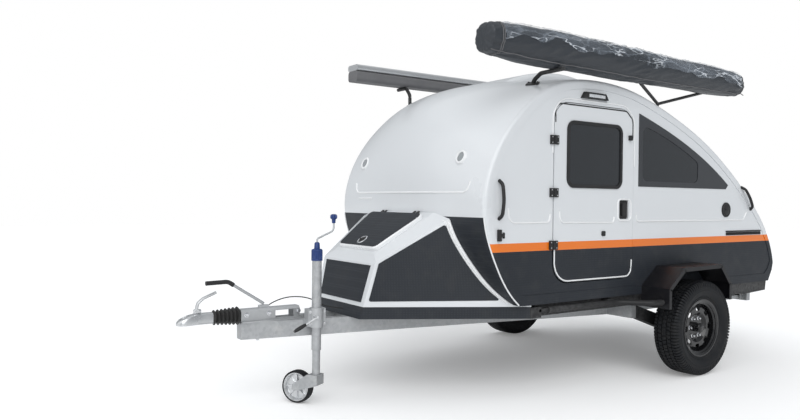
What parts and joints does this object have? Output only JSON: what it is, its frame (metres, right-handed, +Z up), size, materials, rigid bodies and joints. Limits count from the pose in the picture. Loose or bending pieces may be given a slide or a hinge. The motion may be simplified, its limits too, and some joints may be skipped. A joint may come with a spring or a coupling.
{
  "type": "off-road caravan",
  "caption": "Small teardrop off-road caravan with side doors, tail hatch, nose locker, drawbar with overrun coupling, jockey wheel and roof-side awnings.",
  "frame": {"origin": "centre of the ground rectangle under the whole caravan", "axes": "+X forward to the coupling, +Y to the left, +Z up"},
  "size_m": [4.778, 2.188, 2.3206],
  "materials": {
    "shell_white": "smooth white gelcoat",
    "panel_white": "smooth white sheet",
    "floor_black": "satin black",
    "dark_panel": "dark grey, satin",
    "tinted_glass": "dark tint",
    "black_trim": "fine grained black",
    "galvanised": "dull zinc coat",
    "black_steel": "satin black",
    "tyre": "black rubber",
    "rubber": "matt black",
    "coupling_steel": "zinc coated casting",
    "blue_plastic": "blue moulding",
    "crank_steel": "zinc coated rod",
    "bag_fabric": "dark grey woven cover",
    "roll_fabric": "grey woven roll",
    "aluminium": "plain extrusion",
    "lamp_lens": "clear and red lenses"
  },
  "bodies": {
    "caravan": {"body_shell": "shell_white", "floor_panel": "floor_black", "left_side_panel": "panel_white", "right_side_panel": "panel_white", "rear_window_panels": "dark_panel", "rear_window_glass": "tinted_glass", "door_hinges": "black_trim", "hatch_hinges": "black_trim", "nose_box": "shell_white", "nose_front_panel": "dark_panel", "lid_hinges": "black_trim", "drawbar": "galvanised", "chassis_members": "galvanised", "suspension_arms": "black_steel", "fenders": "black_trim", "coupling_head": "coupling_steel", "coupling_handle": "coupling_steel", "coupling_bellows": "rubber", "overrun_housing": "coupling_steel", "handbrake_lever": "coupling_steel", "handbrake_grip": "black_trim", "brake_cable": "rubber", "jockey_outer_tube": "galvanised", "jockey_cap": "blue_plastic", "jockey_crank": "crank_steel", "crank_knob": "blue_plastic", "jockey_clamp": "coupling_steel", "awning_bag": "bag_fabric", "awning_case": "roll_fabric", "awning_rail": "aluminium", "awning_brackets": "black_steel", "grab_handles": "black_trim", "side_fittings": "black_trim", "side_steps": "black_steel", "lamps": "lamp_lens"},
    "left_running_wheel": {"left_tyre": "tyre", "left_wheel": "black_steel"},
    "right_running_wheel": {"right_tyre": "tyre", "right_wheel": "black_steel"},
    "left_entry_door": {"left_door": "panel_white", "left_door_frame": "black_trim", "left_door_glass": "tinted_glass", "left_door_hardware": "black_trim"},
    "right_entry_door": {"right_door": "panel_white", "right_door_frame": "black_trim", "right_door_glass": "tinted_glass", "right_door_hardware": "black_trim"},
    "nose_locker_lid": {"nose_lid": "shell_white"},
    "tail_hatch": {"rear_hatch": "shell_white"},
    "jockey_leg": {"jockey_inner_tube": "galvanised"},
    "jockey_castor": {"jockey_fork": "galvanised"},
    "jockey_roller": {"jockey_tyre": "tyre", "jockey_rim": "black_trim"},
    "left_corner_steady": {"left_steady": "galvanised"},
    "right_corner_steady": {"right_steady": "galvanised"}
  },
  "joints": [
    {"name": "left_wheel_spin", "type": "hinge", "parent": "caravan", "child": "left_running_wheel", "pos_m": [-1.039, 0.9865, 0.345], "axis": [0, 1, 0], "continuous": true},
    {"name": "right_wheel_spin", "type": "hinge", "parent": "caravan", "child": "right_running_wheel", "pos_m": [-1.039, -0.9865, 0.345], "axis": [0, 1, 0], "continuous": true},
    {"name": "left_door_hinge", "type": "hinge", "parent": "caravan", "child": "left_entry_door", "pos_m": [0.282, 0.869, 1.308], "axis": [0, 0, -1], "range_deg": [0, 100]},
    {"name": "right_door_hinge", "type": "hinge", "parent": "caravan", "child": "right_entry_door", "pos_m": [0.282, -0.869, 1.308], "axis": [0, 0, 1], "range_deg": [0, 100]},
    {"name": "nose_lid_hinge", "type": "hinge", "parent": "caravan", "child": "nose_locker_lid", "pos_m": [0.90332, 0, 1.15938], "axis": [0, -1, 0], "range_deg": [0, 75]},
    {"name": "rear_hatch_hinge", "type": "hinge", "parent": "caravan", "child": "tail_hatch", "pos_m": [-1.289, 0, 1.793], "axis": [0, 1, 0], "range_deg": [0, 65]},
    {"name": "jockey_leg_slide", "type": "slide", "parent": "caravan", "child": "jockey_leg", "axis": [0, 0, 1], "range_m": [-0.06, 0.1]},
    {"name": "jockey_castor_swivel", "type": "hinge", "parent": "jockey_leg", "child": "jockey_castor", "pos_m": [1.605, 0.176, 0.186], "axis": [0, 0, 1], "continuous": true},
    {"name": "jockey_wheel_spin", "type": "hinge", "parent": "jockey_castor", "child": "jockey_roller", "pos_m": [1.67283, 0.06745, 0.1], "axis": [0.848, 0.5299, 0], "continuous": true},
    {"name": "left_steady_hinge", "type": "hinge", "parent": "caravan", "child": "left_corner_steady", "pos_m": [-2.205, 0.64, 0.446], "axis": [0, 1, 0], "range_deg": [0, 75]},
    {"name": "right_steady_hinge", "type": "hinge", "parent": "caravan", "child": "right_corner_steady", "pos_m": [-2.205, -0.64, 0.446], "axis": [0, 1, 0], "range_deg": [0, 75]}
  ]
}
